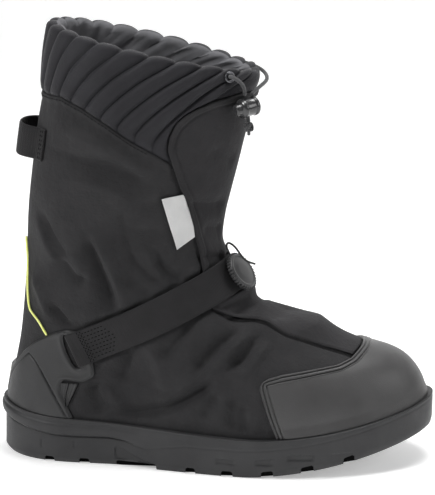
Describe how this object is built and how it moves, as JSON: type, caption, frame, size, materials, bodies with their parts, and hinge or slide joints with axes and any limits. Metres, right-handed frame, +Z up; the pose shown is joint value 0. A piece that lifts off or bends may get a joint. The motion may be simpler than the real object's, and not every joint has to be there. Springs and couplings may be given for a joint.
{
  "type": "winter overshoe",
  "caption": "Right-foot winter overshoe with a hollow fabric upper, cupped lugged sole, rubber toe cap and heel counter, quilted collar, and an instep strap with a lace dial.",
  "frame": {"origin": "on the floor below the middle of the outsole's outline", "axes": "+X towards the toe, +Y towards the inner side of the foot, +Z up"},
  "size_m": [0.3348, 0.1294, 0.3364],
  "materials": {
    "outsole_rubber": "matte moulded",
    "insole_foam": "matte knit",
    "upper_fabric": "coated woven",
    "toe_cap_rubber": "satin moulded",
    "heel_counter_rubber": "satin moulded",
    "flap_fabric": "coated woven",
    "collar_fabric": "quilted, slight sheen",
    "strap_webbing": "woven webbing",
    "dial_base_plastic": "matte",
    "dial_knob_plastic": "satin, knurled rim",
    "dial_lace_fibre": "smooth lace",
    "eyelet_metal": "dark nickel",
    "drawcord_fibre": "braided",
    "cord_lock_plastic": "glossy",
    "pull_loop_webbing": "ribbed webbing",
    "side_label_cloth": "bare white weave",
    "piping_tape": "reflective tape"
  },
  "bodies": {
    "root": {"outsole": "outsole_rubber", "insole": "insole_foam", "upper": "upper_fabric", "toe_cap": "toe_cap_rubber", "heel_counter": "heel_counter_rubber", "front_flap": "flap_fabric", "collar": "collar_fabric", "instep_strap": "strap_webbing", "dial_base": "dial_base_plastic", "dial_knob": "dial_knob_plastic", "dial_lace": "dial_lace_fibre", "eyelet_outer": "eyelet_metal", "eyelet_inner": "eyelet_metal", "drawcord_outer": "drawcord_fibre", "drawcord_inner": "drawcord_fibre", "drawcord_tail": "drawcord_fibre", "cord_knot": "drawcord_fibre", "cord_lock": "cord_lock_plastic", "pull_loop": "pull_loop_webbing", "side_label": "side_label_cloth", "piping_outer": "piping_tape", "piping_inner": "piping_tape"}
  },
  "joints": []
}
